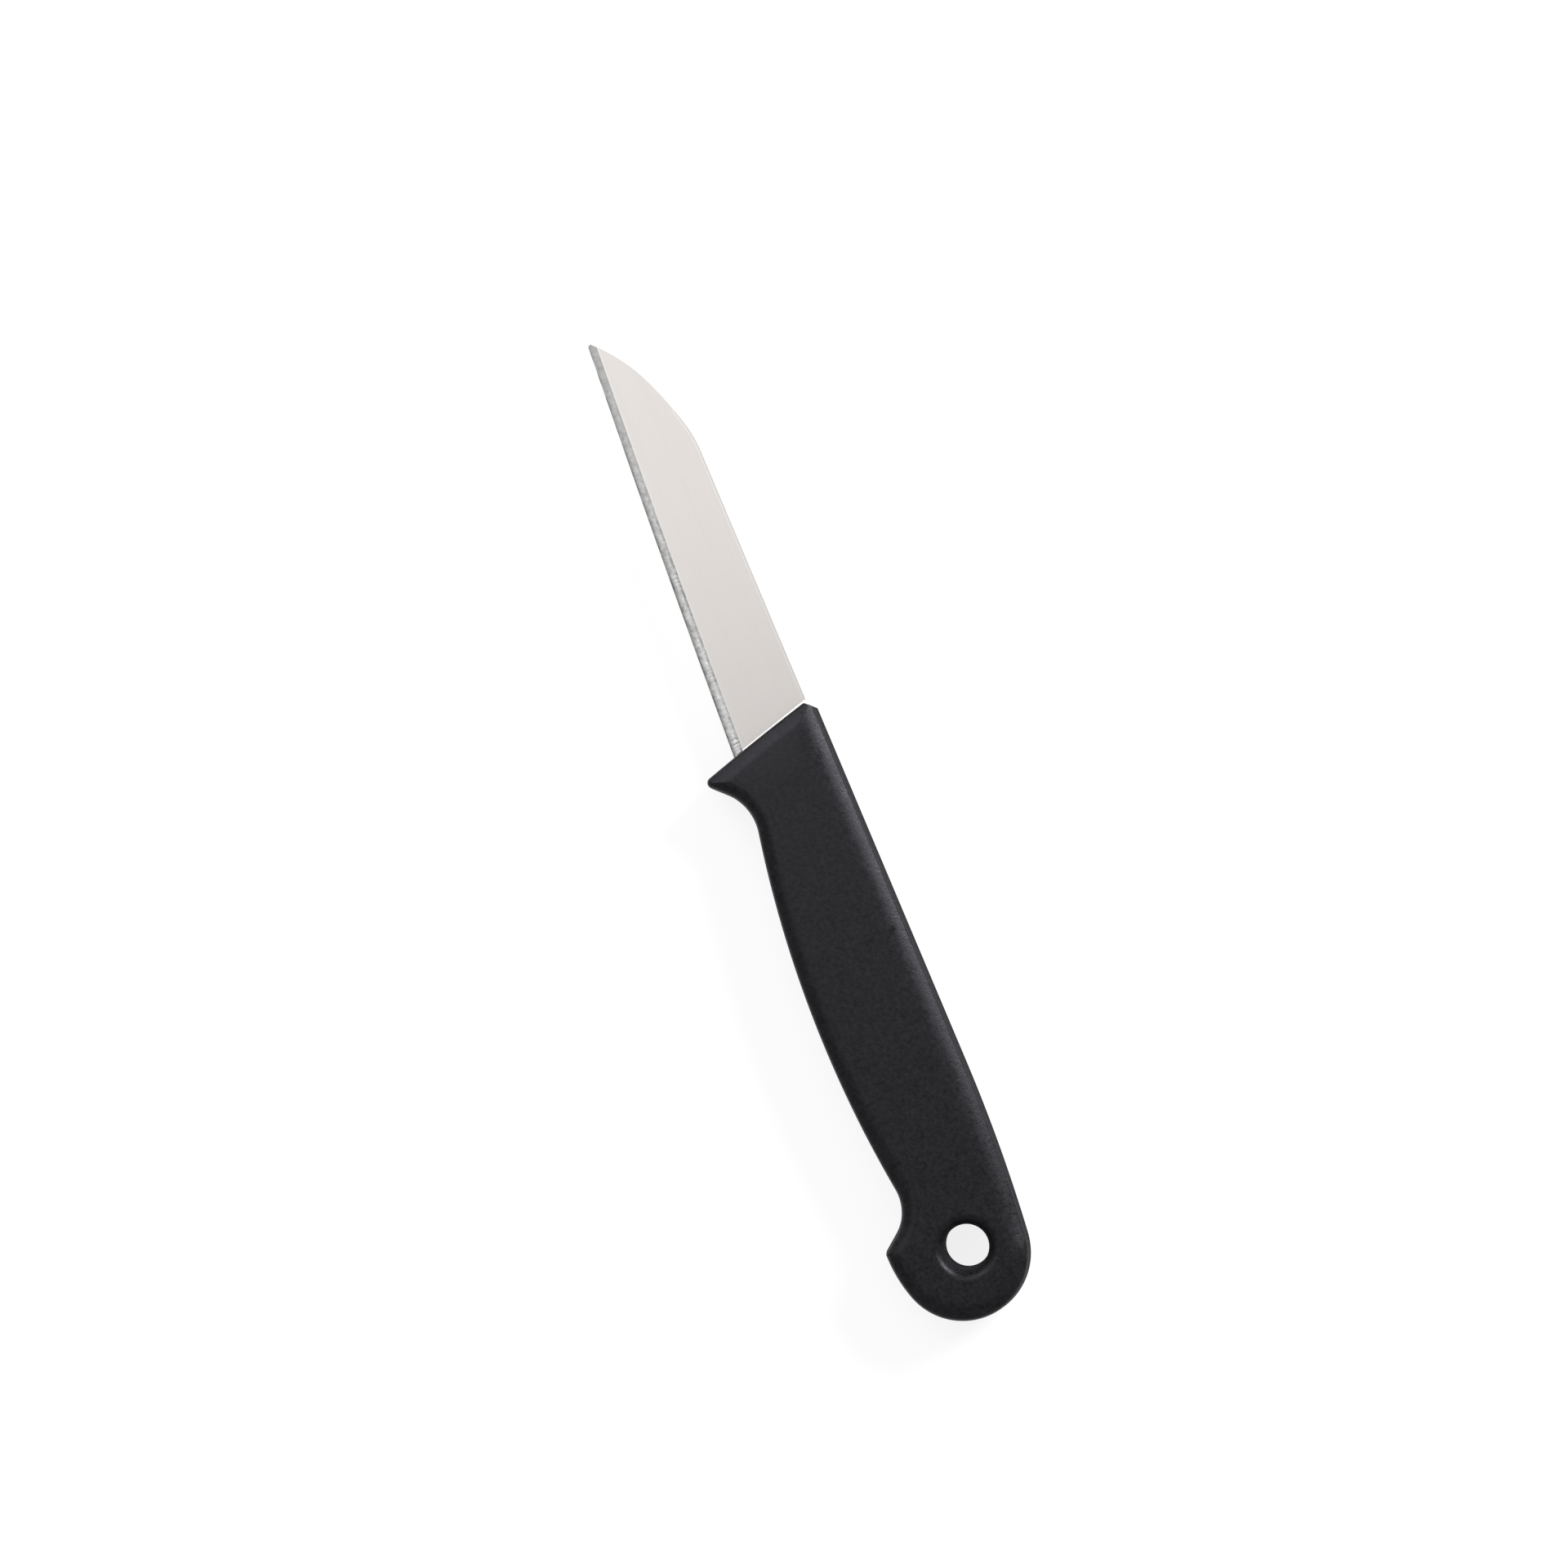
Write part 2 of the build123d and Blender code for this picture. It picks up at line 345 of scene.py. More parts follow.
# Rows run from the point to the heel and columns from the edge to the spine, so each face takes its
# corners the other way round, and points outwards.
outwards = [0, 3, 2, 1]
blade_faces = quads(stations, ring, wrap=True)[:, outwards]
heel_end = (stations - 1) * ring + np.arange(ring)
blade_ends = [tuple(range(ring)), tuple(heel_end[::-1].tolist())]

# Tongue: a tapered plate behind the seat, pierced twice so that the plastic keys into it.
round_steps = np.linspace(0, 2 * pi, tongue_hole_steps, endpoint=False)
hole_round = tongue_hole_radius * np.stack([np.cos(round_steps), np.sin(round_steps)], axis=1)
tongue_outline = np.array([
    place(tongue_start, tongue_down[1]), place(tongue_end, tongue_tip_down[1]),
    place(tongue_end, tongue_tip_down[0]), place(tongue_start, tongue_down[0]),
])
tongue_middle = (tongue_down[0] + tongue_down[1]) / 2
tongue_loops = [tongue_outline] + [place(back, tongue_middle) + hole_round for back in tongue_holes]


def cover(loops):
    """Triangles that fill the ground inside the first loop and outside the round ones that follow it.

    Each joins its nearest corners, as Delaunay's rule asks, and faces up. One whose corners all lie on
    the same round loop would close that hole, so it is left out.
    """
    corners = np.concatenate(loops)
    starts = np.cumsum([0] + [len(loop) for loop in loops])
    sides = np.concatenate([
        start + np.stack([np.arange(len(loop)), (np.arange(len(loop)) + 1) % len(loop)], axis=1)
        for start, loop in zip(starts, loops)
    ])
    spots = [Vector(corner) for corner in corners.tolist()]
    made = delaunay_2d_cdt(spots, sides.tolist(), [], 1, 1e-7)
    triangles = np.array([origin[0] for origin in made[3]])[np.array(made[2])]
    for start, loop in zip(starts[1:], loops[1:]):
        in_hole = (triangles >= start) & (triangles < start + len(loop))
        triangles = triangles[~in_hole.all(axis=1)]
    return triangles


first = len(blade_points)
plate = np.concatenate(tongue_loops)
level = np.ones((len(plate), 1))
tongue_points = np.concatenate([
    np.hstack([plate, level * (middle + sheet / 2)]), np.hstack([plate, level * (middle - sheet / 2)]),
])
plate_top = cover(tongue_loops)
tongue_faces = (first + plate_top).tolist() + (first + len(plate) + plate_top[:, ::-1]).tolist()
begin = 0
for loop_of_plate in tongue_loops:
    count = len(loop_of_plate)
    own = np.arange(count)
    wall = np.stack([own, own + len(plate), (own + 1) % count + len(plate), (own + 1) % count], axis=1)
    wall = wall if begin == 0 else wall[:, ::-1]
    tongue_faces += (first + begin + wall).tolist()
    begin += count

blade = surface(
    "ground_blade",
    np.concatenate([blade_points, tongue_points]),
    blade_faces.tolist() + blade_ends + tongue_faces,
    28.0,
)

# What the steel's finish and its painted shade and highlights go by at each point: the distances in
# millimetres from the edge, past the bevel's shoulder and from the spine, and how strongly the painted
# highlight lies on the upper bevel beside the notches. Near the point the spine counts as out of reach,
# because the painted shade along the spine's edge ends there.
near_tip = np.clip((spine_shade_end - station[:, None]) / spine_shade_fade, 0, 1)
from_spine = room - run + out_of_reach * near_tip
painted = {
    "from_edge": (depth_in, depth_in), "past_bevel": (depth_in - bevel[:, None],) * 2,
    "from_spine": (from_spine, from_spine), "notched": (painted_glint_band, painted_glint_band * 0),
}
for label, (above, below) in painted.items():
    layer = blade.data.attributes.new(label, "FLOAT", "POINT")
    both_sides = np.concatenate([above, below[:, ::-1]], axis=1).reshape(-1)
    plain = np.full(len(tongue_points), 0.0 if label == "notched" else out_of_reach)
    layer.data.foreach_set("value", np.concatenate([both_sides, plain]).astype(np.float32))

# Steel: fine lines brushed along the blade and a duller bevel ground across. Painted shade darkens the
# bevel towards the honed edge and gives way to a slightly lighter tone towards the point. Painted shade
# also lines the bevel's shoulder and the spine's edge, each with a painted highlight beside it. A band
# of painted highlight lies on the bevel beside the notches, and a white strip of painted highlight lies
# beside the handle.
steel_colour = (0.70, 0.667, 0.645, 1.0)
bevel_colour = (0.80, 0.80, 0.79, 1.0)
# Painted shade: a grey laid along the bevel's shoulder and along the spine's edge.
painted_shade_colour = (0.40, 0.40, 0.395, 1.0)
# Painted highlight: white laid in a strip beside the handle and in a band on the bevel beside the
# notches.
painted_white = (1.0, 1.0, 1.0, 1.0)
steel_roughness = 0.32
bevel_roughening = 0.06
fine_lines, fine_tone = (70.0, 5200.0, 70.0), 0.07
broad_lines, broad_tone = (14.0, 700.0, 14.0), 0.05
cross_lines, cross_tone = (6500.0, 260.0, 260.0), 0.3
patch_sizes, patch_tone, patch_calming = (1300.0, 1300.0, 1300.0), 1.4, -0.9
# Painted shade towards the edge: the bevel's tone is this low within the first distance from the edge
# and plain beyond the second.
edge_shade_from, edge_shade_to, edge_shade_tone = 0.15, 0.78, 0.55
# Towards the point the painted edge shade gives way, by a share, to a slightly lighter tone.
calm_from, calm_to, calm_share, calm_tone = -0.085, -0.045, 0.6, 1.1
# Painted highlight: a lighter tone just past the bevel's shoulder and just inside the spine's edge.
painted_highlight_tone = 0.11
# Shares of the painted shade along the spine's edge and the shoulder, and of the painted highlight band
# on the bevel.
spine_shade_share = 0.3
shoulder_shade_share = 0.45
glint_share = 0.95
brush_depth = 0.00001
# A strip of painted highlight, so wide, beside the handle, where the steel is also smoother.
bright_strip_width = 0.5
bright_strip_roughness = 0.08
front_rake = radians(15.8)
nose_bevel = 1.41
front_normal = (-cos(front_rake), -sin(front_rake), 0.0)
front_at = Vector((front_x, handle_half_depth - nose_bevel, 0.0)).dot(Vector(front_normal)) * metre
steel = bpy.data.materials.new("brushed_stainless")
steel.use_nodes = True
tree = steel.node_tree
tree.nodes.clear()
spot = node(tree, "ShaderNodeTexCoord").outputs["Object"]

# Grain: cloudy noise from -0.5 to 0.5, drawn out where the stretch is small. Steel and plastic share it.
grain_group = bpy.data.node_groups.new("drawn_out_grain", "ShaderNodeTree")
grain_group.interface.new_socket("Place", in_out="INPUT", socket_type="NodeSocketVector")
grain_group.interface.new_socket("Stretch", in_out="INPUT", socket_type="NodeSocketVector")
grain_group.interface.new_socket("Detail", in_out="INPUT", socket_type="NodeSocketFloat")
grain_group.interface.new_socket("Grain", in_out="OUTPUT", socket_type="NodeSocketFloat")
given = node(grain_group, "NodeGroupInput").outputs
drawn = node(grain_group, "ShaderNodeVectorMath", {
    0: given["Place"], 1: given["Stretch"],
}, operation="MULTIPLY").outputs[0]
cloud = node(grain_group, "ShaderNodeTexNoise", {
    "Vector": drawn, "Scale": 1.0, "Detail": given["Detail"],
})
centred = node(grain_group, "ShaderNodeMath", {0: cloud.outputs[0], 1: 0.5}, operation="SUBTRACT")
node(grain_group, "NodeGroupOutput", {"Grain": centred.outputs[0]})


def streaks(tree, spot, stretch, detail):
    """The grain group placed in a material, with its own stretch and detail."""
    made = node(tree, "ShaderNodeGroup", node_tree=grain_group)
    tree.links.new(spot, made.inputs["Place"])
    made.inputs["Stretch"].default_value = stretch
    made.inputs["Detail"].default_value = detail
    return made.outputs["Grain"]


def scaled(tree, value, factor, offset=0.0):
    """value times factor plus offset."""
    terms = {0: value, 1: factor, 2: offset}
    return node(tree, "ShaderNodeMath", terms, operation="MULTIPLY_ADD").outputs[0]


def joined(tree, first_value, second_value, operation="ADD"):
    """Two values put together by one operation."""
    terms = {0: first_value, 1: second_value}
    return node(tree, "ShaderNodeMath", terms, operation=operation).outputs[0]


def tinted(tree, colour, tone):
    """A colour made brighter or darker by a tone round 1."""
    return node(tree, "ShaderNodeVectorMath", {0: colour[:3], 3: tone}, operation="SCALE").outputs[0]


def blended(tree, share, low, high):
    """One colour where the share is 0 and another where it is 1."""
    return node(tree, "ShaderNodeMix", {0: share, 6: low, 7: high}, data_type="RGBA").outputs[2]


def ramp(tree, value, low, high, at_low, at_high):
    """A straight change from one tone where the value is low to another where it is high."""
    ends = {0: value, 1: low, 2: high, 3: at_low, 4: at_high}
    return node(tree, "ShaderNodeMapRange", ends).outputs[0]


def between(tree, label, low, high, soft):
    """1 where the named distance in millimetres lies from low to high, with soft sides, and else 0."""
    reach = node(tree, "ShaderNodeAttribute", attribute_name=label).outputs["Fac"]
    rise = ramp(tree, reach, low - soft, low + soft, 0.0, 1.0)
    fall = ramp(tree, reach, high - soft, high + soft, 1.0, 0.0)
    return joined(tree, rise, fall, "MULTIPLY")


fine = streaks(tree, spot, fine_lines, 3.0)
broad = streaks(tree, spot, broad_lines, 2.0)
cross = streaks(tree, spot, cross_lines, 3.0)
patches = streaks(tree, spot, patch_sizes, 2.0)
bevel_mask = between(tree, "past_bevel", -9.0, 0.0, 0.03)
from_edge = node(tree, "ShaderNodeAttribute", attribute_name="from_edge").outputs["Fac"]
# Painted shade that darkens the bevel towards the honed edge.
painted_edge_shade = ramp(tree, from_edge, edge_shade_from, edge_shade_to, edge_shade_tone, 1.0)
# Painted shade along the bevel's shoulder, and a painted highlight just past it.
shoulder_shade = between(tree, "past_bevel", -0.14, 0.0, 0.05)
shoulder_highlight = between(tree, "past_bevel", 0.06, 0.24, 0.08)
# Painted shade along the spine's edge, and a painted highlight just inside it.
spine_shade = between(tree, "from_spine", -1.0, 0.18, 0.06)
spine_highlight = between(tree, "from_spine", 0.18, 0.45, 0.1)
reach = node(tree, "ShaderNodeVectorMath", {0: spot, 1: front_normal}, operation="DOT_PRODUCT")
# The strip of painted highlight beside the handle.
strip_from, strip_to = (front_at + (bright_strip_width + soft) * metre for soft in (-0.12, 0.1))
beside = ramp(tree, reach.outputs["Value"], strip_from, strip_to, 1.0, 0.0)
tone = joined(tree, scaled(tree, fine, fine_tone, 1.0), scaled(tree, broad, broad_tone))
tone = joined(tree, tone, scaled(tree, joined(tree, shoulder_highlight, spine_highlight), painted_highlight_tone))
colour = blended(tree, beside, tinted(tree, steel_colour, tone), painted_white)
# Painted shade laid along the spine's edge.
colour = blended(tree, scaled(tree, spine_shade, spine_shade_share), colour, painted_shade_colour)
knife_x = node(tree, "ShaderNodeSeparateXYZ", {0: spot}).outputs["X"]
tipward = ramp(tree, knife_x, calm_from, calm_to, 1.0, 0.0)
calmed = scaled(tree, tipward, calm_share)
painted_edge_shade = node(tree, "ShaderNodeMix", {0: calmed, 2: painted_edge_shade, 3: calm_tone}).outputs[0]
patches = joined(tree, patches, scaled(tree, tipward, patch_calming, patch_tone), "MULTIPLY")
crossed = joined(tree, scaled(tree, cross, cross_tone, 1.0), patches)
crossed = joined(tree, crossed, painted_edge_shade, "MULTIPLY")
# The band of painted highlight on the bevel beside the notches.
notched = node(tree, "ShaderNodeAttribute", attribute_name="notched").outputs["Fac"]
notched = scaled(tree, notched, glint_share)
ground = blended(tree, notched, tinted(tree, bevel_colour, crossed), painted_white)
colour = blended(tree, bevel_mask, colour, ground)
# Painted shade laid along the bevel's shoulder.
colour = blended(tree, scaled(tree, shoulder_shade, shoulder_shade_share), colour, painted_shade_colour)
rough = scaled(tree, fine, 0.12, steel_roughness)
rough = joined(tree, rough, scaled(tree, bevel_mask, bevel_roughening))
rough = node(tree, "ShaderNodeMix", {0: beside, 2: rough, 3: bright_strip_roughness}).outputs[0]
lines = node(tree, "ShaderNodeMix", {0: bevel_mask, 2: fine, 3: cross}).outputs[0]
relief = node(tree, "ShaderNodeBump", {
    "Height": lines, "Strength": 0.25, "Distance": brush_depth,
}).outputs[0]
skin = node(tree, "ShaderNodeBsdfPrincipled", {
    "Base Color": colour, "Metallic": 1.0, "Roughness": rough, "Normal": relief,
}).outputs[0]
node(tree, "ShaderNodeOutputMaterial", {"Surface": skin})
blade.data.materials.append(steel)
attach(blade, "root")
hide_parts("blade")


# Handle: one shot of matt black plastic, moulded round the tang in two half moulds that meet along the
# middle of its walls. Flat sides with soft rims run from a bevelled nose and a finger guard to a
# beak and a round butt, which is pierced by a dished hang hole.
half_thickness = 6.0
handle_length = 106.0
guard_depth = 22.3
guard_place = ((guard_depth - nose_bevel) * tan(front_rake), guard_depth)
guard_run = 9.26 * cos(radians(45.0))
belly_front = (guard_place[0] + guard_run, guard_place[1] - guard_run)
belly_middle = (0.52 * handle_length, 20.47)
belly_back = (handle_length - 20.97, 18.17)
hollow_radius = 8.85
finger_notch_radius = 7.85
guard_radius = 0.95
beak_radius = 0.6
nose_radius = 0.12
front_bow = 0.12
butt_radius = 11.12
butt_place = (94.88, 12.70)
droop_radius = 280.0
heel_radius = 24.0
beak_back = handle_length - 16.04
hole_place = (93.99, 11.54)
hole_radius = 3.73
hole_land = 6.7
flare_reach = 1.9
flare_steps = 20
hole_steps = 96
mould_draft = tan(radians(1.5))
seam_height = 0.07
seam_width = 0.16
seam_rough_share = 0.3
bore_blend = 0.8
wall_row = 2.2
wall_rows = 7
wall_edge = 0.16
edge_reach = 0.38
edge_drop = 0.26
rim_rows = 19
rim_room = 0.94
rim_mixing = 2.2


def ring_of(centre, radius, start, end, count):
    """Points of the arc round a centre from one angle to another: each is the centre plus the radius
    times the cosine and the sine of its angle."""
    angle = np.linspace(start, end, count)
    return centre + radius * np.stack([np.cos(angle), np.sin(angle)], axis=1)


def rest_centre(corner, heading, radius, side, centre, reach):
    """Centre of a circle that touches a line through a corner, on one side of it, and lies at a reach
    from another centre: it is where the line, moved sideways by the radius, meets that circle."""
    base = corner + side * radius * np.array([-heading[1], heading[0]])
    offset = base - centre
    along_line = -offset @ heading
    spread = np.sqrt(along_line**2 - offset @ offset + reach**2)
    choices = [base + heading * (along_line + sign * spread) for sign in (-1, 1)]
    return min(choices, key=lambda found: np.linalg.norm(found - corner))


def sweep(centre, radius, start, end, clockwise, step=0.45):
    """Points of the arc round a centre from one place to another, the given way round."""
    first_angle = np.arctan2(*(start - centre)[::-1])
    last_angle = np.arctan2(*(end - centre)[::-1])
    span = (last_angle - first_angle) % (2 * pi)
    span = span - 2 * pi if clockwise else span
    count = max(int(abs(span) * radius / step), int(abs(span) / radians(9)), 2) + 1
    return ring_of(centre, radius, first_angle, first_angle + span, count)


def straight(start, end, step=0.6):
    """Evenly spaced points of a straight run."""
    count = max(int(np.linalg.norm(end - start) / step), 2) + 1
    return start + (end - start) * np.linspace(0, 1, count)[:, None]


def unit(vector):
    """The vector at length 1."""
    return vector / np.linalg.norm(vector)


def meet_centre(corner, before, after, radius):
    """Centre and touching places of a circle that rounds the corner between two unit headings.

    The centre lies on the corner's bisector, at the radius over the sine of half the corner's angle, and
    the circle touches both lines at the radius over that half angle's tangent.
    """
    half_angle = np.arccos(np.clip(-before @ after, -1, 1)) / 2
    back_off = radius / np.tan(half_angle)
    bisector = unit(after - before)
    centre = corner + bisector * radius / np.sin(half_angle)
    return centre, corner - before * back_off, corner + after * back_off


# The outline runs from the nose down the front line, round the guard, along the belly to the beak,
# round the butt and back along the spine, so that the plastic lies on its left.
nose_low = place(0, nose_bevel)
nose = place(-nose_bevel * tan(front_rake), 0)
guard, front_belly = place(*guard_place), place(*belly_front)
mid_belly, back_belly = place(*belly_middle), place(*belly_back)
belly_chords = np.array([mid_belly - front_belly, mid_belly - back_belly])
chord_sums = mid_belly @ mid_belly - np.array([front_belly @ front_belly, back_belly @ back_belly])
belly_centre = np.linalg.solve(2 * belly_chords, chord_sums)
belly_radius = np.linalg.norm(mid_belly - belly_centre)
butt = place(*butt_place)
butt_drop = butt_place[1] - butt_radius
droop_run = np.sqrt(butt_drop * (2 * (droop_radius - butt_radius) - butt_drop))
droop = place(butt_place[0] - droop_run, droop_radius)
heel_rise = 2 * handle_half_depth - butt_place[1] - butt_radius
heel_run = np.sqrt(heel_rise * (2 * (heel_radius - butt_radius) - heel_rise))
rear = place(butt_place[0] - heel_run, 2 * handle_half_depth - heel_radius)
beak_x = front_x + beak_back
beak = np.array([beak_x, rear[1] - np.sqrt(heel_radius**2 - (beak_x - rear[0]) ** 2)])

down_front = unit(guard - nose)
up_guard = unit(front_belly - guard)
to_beak = unit(beak - back_belly)
nose_round = meet_centre(nose, np.array([-1.0, 0.0]), down_front, nose_radius)
guard_round = meet_centre(guard, down_front, up_guard, guard_radius)
hollow = rest_centre(
    front_belly, up_guard, hollow_radius, -1, belly_centre, belly_radius + hollow_radius,
)
finger_notch = rest_centre(
    back_belly, to_beak, finger_notch_radius, -1, belly_centre, belly_radius + finger_notch_radius,
)
beak_centre = rest_centre(beak, to_beak, beak_radius, 1, rear, heel_radius - beak_radius)


def foot(centre, corner, heading):
    """The place on a line through a corner that lies nearest to a centre."""
    return corner + heading * ((centre - corner) @ heading)


hollow_line = foot(hollow, front_belly, up_guard)
finger_notch_line = foot(finger_notch, back_belly, to_beak)
hollow_arc = belly_centre + unit(hollow - belly_centre) * belly_radius
finger_notch_arc = belly_centre + unit(finger_notch - belly_centre) * belly_radius
beak_line = foot(beak_centre, beak, to_beak)
beak_arc = rear + unit(beak_centre - rear) * heel_radius
rear_butt = rear + unit(butt - rear) * heel_radius
butt_droop = droop + unit(butt - droop) * droop_radius
droop_top = droop + np.array([0, droop_radius])
front_run = straight(nose_round[2], guard_round[1])
bulge = front_bow * np.sin(pi * np.linspace(0, 1, len(front_run)))[:, None]
front_run = front_run + bulge * np.array([down_front[1], -down_front[0]])

# Each stretch of the outline has a rim: how far it reaches in, how deep it falls and how it curves.
stretches = [
    (sweep(nose_round[0], nose_radius, nose_round[1], nose_round[2], False), 2.4, 1.3, 1.5),
    (front_run, 2.6, 1.2, 1.3),
    (sweep(guard_round[0], guard_radius, guard_round[1], guard_round[2], False), 2.4, 1.3, 1.5),
    (straight(guard_round[2], hollow_line), 2.4, 1.3, 1.8),
    (sweep(hollow, hollow_radius, hollow_line, hollow_arc, True), 2.4, 1.3, 2.0),
    (sweep(belly_centre, belly_radius, hollow_arc, finger_notch_arc, False, 0.8), 3.0, 1.3, 2.0),
    (sweep(finger_notch, finger_notch_radius, finger_notch_arc, finger_notch_line, True), 2.6, 1.3, 2.0),
    (straight(finger_notch_line, beak_line), 2.4, 1.2, 2.0),
    (sweep(beak_centre, beak_radius, beak_line, beak_arc, False), 2.0, 1.2, 1.8),
    (sweep(rear, heel_radius, beak_arc, rear_butt, False), 2.8, 1.3, 2.0),
    (sweep(butt, butt_radius, rear_butt, butt_droop, False), 3.1, 1.3, 2.0),
    (sweep(droop, droop_radius, butt_droop, droop_top, False, 0.8), 4.3, 1.4, 2.0),
    (straight(droop_top, nose_round[1], 0.8), 4.3, 1.4, 2.0),
]
outline = np.concatenate([points[:-1] for points, *rim in stretches])
rims = np.concatenate([np.tile(rim, (len(points) - 1, 1)) for points, *rim in stretches])
ahead = np.roll(outline, -1, axis=0) - outline
step = np.linalg.norm(ahead, axis=1)
ahead = ahead / step[:, None]
leading = ahead + np.roll(ahead, 1, axis=0)
leading = leading / np.linalg.norm(leading, axis=1)[:, None]
inner = np.stack([-leading[:, 1], leading[:, 0]], axis=1)

# Rims change gently along the outline, and stop short of the line where two of them would meet.
travelled = np.cumsum(step) - step
total = step.sum()
apart = np.abs(travelled[:, None] - travelled[None, :])
apart = np.minimum(apart, total - apart)
share = np.exp(-((apart / rim_mixing) ** 2)) * step[None, :]
rims = share @ rims / share.sum(axis=1)[:, None]
gap = outline[None, :, :] - outline[:, None, :]
facing = np.einsum("ijk,ik->ij", gap, inner)
ball = np.where(facing > 1e-6, (gap**2).sum(axis=2) / np.maximum(2 * facing, 1e-6), 1e3)
widest = ball.min(axis=1)
rim_in, rim_down, rim_curve = rims[:, :1], rims[:, 1:2], rims[:, 2:]
drawn_in = np.minimum(rim_in, rim_room * widest[:, None])

# A line from the seam up the wall and over the rim: its height above the middle, and how far in it is.
# Each place of the outline lowers the face round it, by a power of how near it is, and the lowest of
# these counts, so that two rims meet in a ridge at the nose, the guard and the beak.
inwards = np.linspace(0, 1, rim_rows)[None, 1:] ** 1.5 * drawn_in
rim_spots = outline[:, None, :] + inwards[:, :, None] * inner[:, None, :]
away = np.linalg.norm(rim_spots[:, :, None, :] - outline[None, None, :, :], axis=3)
nearness = np.clip(1 - away / rim_in[:, 0], 0, 1)
lowered = (rim_down[:, 0] * nearness ** rim_curve[:, 0]).max(axis=2)
lowered = lowered + edge_drop * np.clip(1 - away.min(axis=2) / edge_reach, 0, 1) ** 2
wall_top = half_thickness - rim_down - edge_drop
column = np.ones_like(rim_in)
heights = np.concatenate([
    column * 0, column * seam_width * 0.55, column * seam_width, column * seam_width * 1.5,
    column * wall_row, wall_top - wall_edge, wall_top - wall_edge * 0.45,
    half_thickness - lowered,
], axis=1)
fallen = np.concatenate([
    -seam_height * column, -seam_height * 0.84 * column, -seam_height * 0.2 * column, column * 0,
    column * 0, column * 0, column * wall_edge * 0.12,
    inwards,
], axis=1)
swollen = np.maximum(wall_top - heights, 0) * mould_draft
inset = fallen - swollen
skin_flat = outline[:, None, :] + inset[:, :, None] * inner[:, None, :]
upper_skin = np.concatenate([skin_flat, (middle + heights)[:, :, None]], axis=2).transpose(1, 0, 2)
lower_skin = np.concatenate([skin_flat, (middle - heights)[:, :, None]], axis=2).transpose(1, 0, 2)
levels, around = upper_skin.shape[:2]
skin_rows = np.concatenate([lower_skin[:0:-1], upper_skin])

# The hang hole is turned: its flare is a quarter of an ellipse, level at the face and upright in the
# bore, and the lower half mirrors the upper one.
hole = place(*hole_place)
flare_turn = np.linspace(0, pi / 2, flare_steps)
bore_end = hole_land / 2
profile_r = np.concatenate([hole_radius + flare_reach * (1 - np.sin(flare_turn)), [hole_radius]])
profile_z = np.concatenate([bore_end + (half_thickness - bore_end) * np.cos(flare_turn), [0.0]])
profile_r = np.concatenate([profile_r, profile_r[-2::-1]])
profile_z = np.concatenate([profile_z, -profile_z[-2::-1]])
round_about = np.linspace(0, 2 * pi, hole_steps, endpoint=False)
hole_rows = np.stack([
    hole[0] + profile_r[:, None] * np.cos(round_about)[None, :],
    hole[1] + profile_r[:, None] * np.sin(round_about)[None, :],
    np.broadcast_to(middle + profile_z[:, None], (len(profile_z), len(round_about))),
], axis=2)

skin_count = skin_rows.shape[0] * around
hole_count = hole_rows.shape[0] * hole_steps
face_fill = cover([skin_rows[-1][:, :2], hole_rows[0][:, :2]])
hole_ring = skin_count + np.arange(hole_steps)
upper_index = np.concatenate([skin_count - around + np.arange(around), hole_ring])
lower_index = np.concatenate([np.arange(around), hole_ring + hole_count - hole_steps])
handle_faces = quads(skin_rows.shape[0], around, wrap=True).tolist()
handle_faces += quads(hole_rows.shape[0], hole_steps, first=skin_count, wrap=True).tolist()
handle_faces += upper_index[face_fill].tolist() + lower_index[face_fill[:, ::-1]].tolist()
handle = surface(
    "moulded_handle",
    np.concatenate([skin_rows.reshape(-1, 3), hole_rows.reshape(-1, 3)]),
    handle_faces,
    38.0,
)

# The walls and the bore were drawn along the steel of the mould, which leaves them rougher than the
# polished faces. The seam is scraped down, and the flare turns smooth away from the bore.
is_wall = np.zeros((skin_rows.shape[0], around))
is_wall[levels - wall_rows:levels + wall_rows - 1] = 1.0
is_wall[levels - 2:levels + 1] = seam_rough_share
is_bore = 1 - np.clip((profile_r - hole_radius) / bore_blend, 0, 1)[:, None] * np.ones(hole_steps)
is_drawn = np.concatenate([is_wall.reshape(-1), is_bore.reshape(-1)])
wall_layer = handle.data.attributes.new("wall", "FLOAT", "POINT")
wall_layer.data.foreach_set("value", is_drawn.astype(np.float32))

# The nose's top corner is cut off at 45 degrees, and the cut is closed. Both rims of the flare are
# sharp, so that the flat faces round the hang hole are lit evenly.
nose_cut = bmesh.new()
nose_cut.from_mesh(handle.data)
nose_cut.verts.ensure_lookup_table()
for first_of_rim in (skin_count, skin_count + hole_count - hole_steps):
    rim_corners = nose_cut.verts[first_of_rim:first_of_rim + hole_steps]
    for corner, following in zip(rim_corners, rim_corners[1:] + rim_corners[:1]):
        nose_cut.edges.get((corner, following)).smooth = False
sliced = bmesh.ops.bisect_plane(
    nose_cut, geom=nose_cut.verts[:] + nose_cut.edges[:] + nose_cut.faces[:],
    plane_co=Vector((*nose_low, middle)) * metre, plane_no=(-1, 1, 0), clear_outer=True,
)
rim_of_cut = [edge for edge in sliced["geom_cut"] if isinstance(edge, bmesh.types.BMEdge)]
bmesh.ops.contextual_create(nose_cut, geom=rim_of_cut)
for edge in rim_of_cut:
    edge.smooth = False
nose_cut.to_mesh(handle.data)
nose_cut.free()

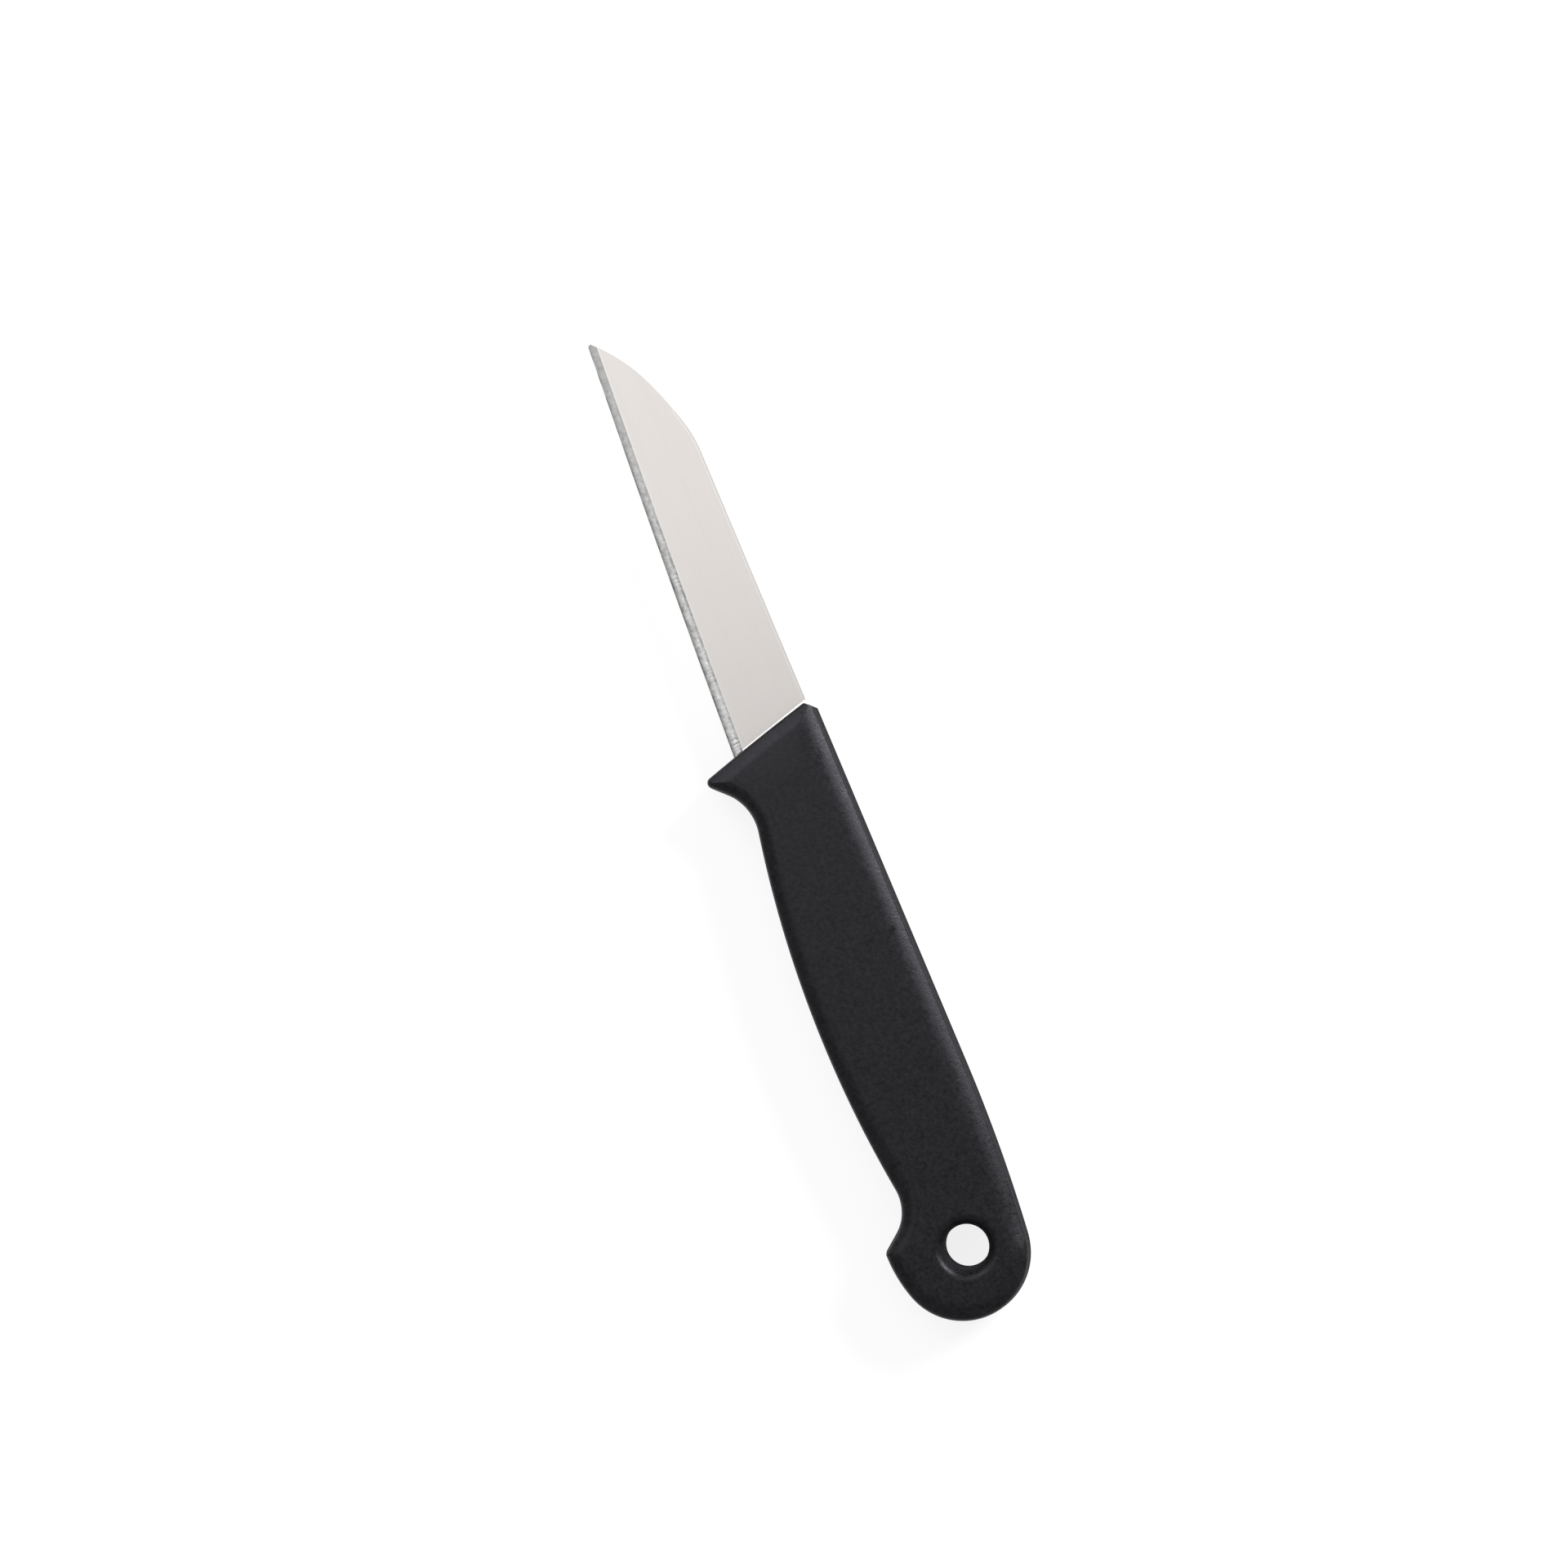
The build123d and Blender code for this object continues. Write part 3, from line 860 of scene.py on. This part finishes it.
# Plastic: black with a fine moulded grain, cloudy where it has been handled, a few pale specks, rough
# walls and the small dark pit of the gate near the nose.
plastic_colour = (0.0075, 0.0075, 0.0084, 1.0)
dust_colour = (0.16, 0.16, 0.16, 1.0)
plastic_roughness = 0.40
wall_roughness = 1.0
plastic_gloss = 0.35
gloss_tint = (0.92, 0.89, 1.0, 1.0)
grain_depth = 0.000032
grain_sizes, grain_tone = (2700.0, 2700.0, 2700.0), 1.6
mottle_sizes, mottle_tone = (1250.0, 1250.0, 1250.0), 2.6
cloud_sizes, cloud_tone = (420.0, 420.0, 420.0), 0.8
wide_sizes = (60.0, 60.0, 60.0)
darkest_tone = 0.15
dust_spacing, dust_radius, dust_rarity = 130.0, 0.022, 0.6
cloud_roughening, wide_roughening, grain_roughening = 0.22, 0.10, 0.25
wall_bumpiness = 4.0
pit_floor, pit_edge, pit_depth = 0.00008, 0.00024, -2.0
gate_mark = (*(place(1.33, 2.26) * metre).tolist(), 0.0115)
plastic = bpy.data.materials.new("moulded_black")
plastic.use_nodes = True
tree = plastic.node_tree
tree.nodes.clear()
spot = node(tree, "ShaderNodeTexCoord").outputs["Object"]
grain = streaks(tree, spot, grain_sizes, 2.0)
cloud = streaks(tree, spot, cloud_sizes, 4.0)
wide = streaks(tree, spot, wide_sizes, 2.0)
mottle = streaks(tree, spot, mottle_sizes, 3.0)
cells = node(tree, "ShaderNodeTexVoronoi", {"Vector": spot, "Scale": dust_spacing})
near = joined(tree, cells.outputs["Distance"], dust_radius, "LESS_THAN")
pick = node(tree, "ShaderNodeSeparateColor", {0: cells.outputs["Color"]}).outputs[0]
dust = joined(tree, near, joined(tree, pick, dust_rarity, "GREATER_THAN"), "MULTIPLY")
shade = joined(tree, scaled(tree, cloud, cloud_tone, 1.0), scaled(tree, grain, grain_tone))
shade = joined(tree, joined(tree, shade, scaled(tree, mottle, mottle_tone)), darkest_tone, "MAXIMUM")
from_gate = node(tree, "ShaderNodeVectorMath", {0: spot, 1: gate_mark}, operation="DISTANCE")
pit = ramp(tree, from_gate.outputs["Value"], pit_floor, pit_edge, 1.0, 0.0)
colour = blended(tree, dust, tinted(tree, plastic_colour, shade), dust_colour)
rough = scaled(tree, cloud, cloud_roughening, plastic_roughness)
rough = joined(tree, rough, scaled(tree, wide, wide_roughening))
rough = joined(tree, rough, scaled(tree, joined(tree, grain, mottle), grain_roughening))
wall_mask = node(tree, "ShaderNodeAttribute", attribute_name="wall").outputs["Fac"]
wall_mask = joined(tree, wall_mask, pit, "MAXIMUM")
rough = node(tree, "ShaderNodeMix", {0: wall_mask, 2: rough, 3: wall_roughness}).outputs[0]
bumps = joined(tree, joined(tree, grain, scaled(tree, cloud, 0.4)), scaled(tree, mottle, 0.8))
bumps = joined(tree, bumps, scaled(tree, wall_mask, wall_bumpiness, 1.0), "MULTIPLY")
bumps = joined(tree, bumps, scaled(tree, pit, pit_depth))
relief = node(tree, "ShaderNodeBump", {
    "Height": bumps, "Strength": 0.8, "Distance": grain_depth,
}).outputs[0]
skin = node(tree, "ShaderNodeBsdfPrincipled", {
    "Base Color": colour, "Roughness": rough, "Normal": relief, "Specular IOR Level": plastic_gloss,
    "Specular Tint": gloss_tint,
}).outputs[0]
node(tree, "ShaderNodeOutputMaterial", {"Surface": skin})
handle.data.materials.append(plastic)
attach(handle, "root")
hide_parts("handle")
